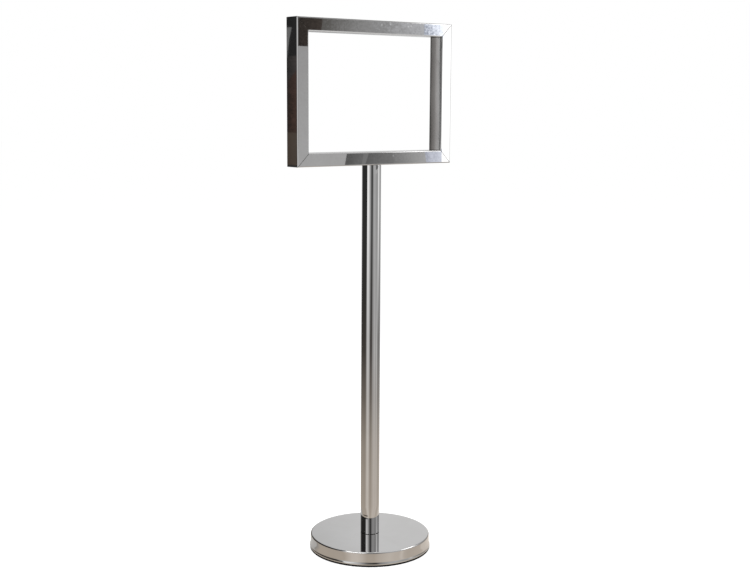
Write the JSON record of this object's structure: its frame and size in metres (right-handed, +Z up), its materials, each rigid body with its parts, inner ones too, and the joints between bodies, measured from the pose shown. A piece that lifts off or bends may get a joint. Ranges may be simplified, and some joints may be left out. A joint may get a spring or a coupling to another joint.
{
  "type": "sign stand",
  "caption": "Polished steel sign stand: an open landscape frame of mitred box tube on a round post, which turns on a round weighted base with a rubber floor ring.",
  "frame": {"origin": "on the floor, on the axis of the post", "axes": "+Z up, X along the sign frame, -Y its front"},
  "size_m": [0.488, 0.324, 1.395],
  "materials": {
    "polished_steel": "mirror-polished stainless steel with faint polishing lines and handling marks",
    "plated_steel": "zinc-plated steel",
    "mill_steel": "plain turned and cut steel",
    "cast_iron": "rough dark casting",
    "black_rubber": "matt black rubber"
  },
  "bodies": {
    "base": {"floor_ring": "black_rubber", "base_weight": "cast_iron", "base_cover": "polished_steel", "flat_washer": "plated_steel", "foot_gasket": "black_rubber"},
    "post": {"tie_bolt": "plated_steel", "spring_washer": "plated_steel", "foot_plug": "mill_steel", "post_tube": "polished_steel", "head_plug": "mill_steel", "head_bolt": "plated_steel", "head_plate": "mill_steel", "bottom_rail": "polished_steel", "top_rail": "polished_steel", "left_stile": "polished_steel", "right_stile": "polished_steel"}
  },
  "joints": [
    {"name": "post_turn", "type": "hinge", "parent": "base", "child": "post", "pos_m": [0, 0, 0.04], "axis": [0, 0, 1], "continuous": true}
  ]
}
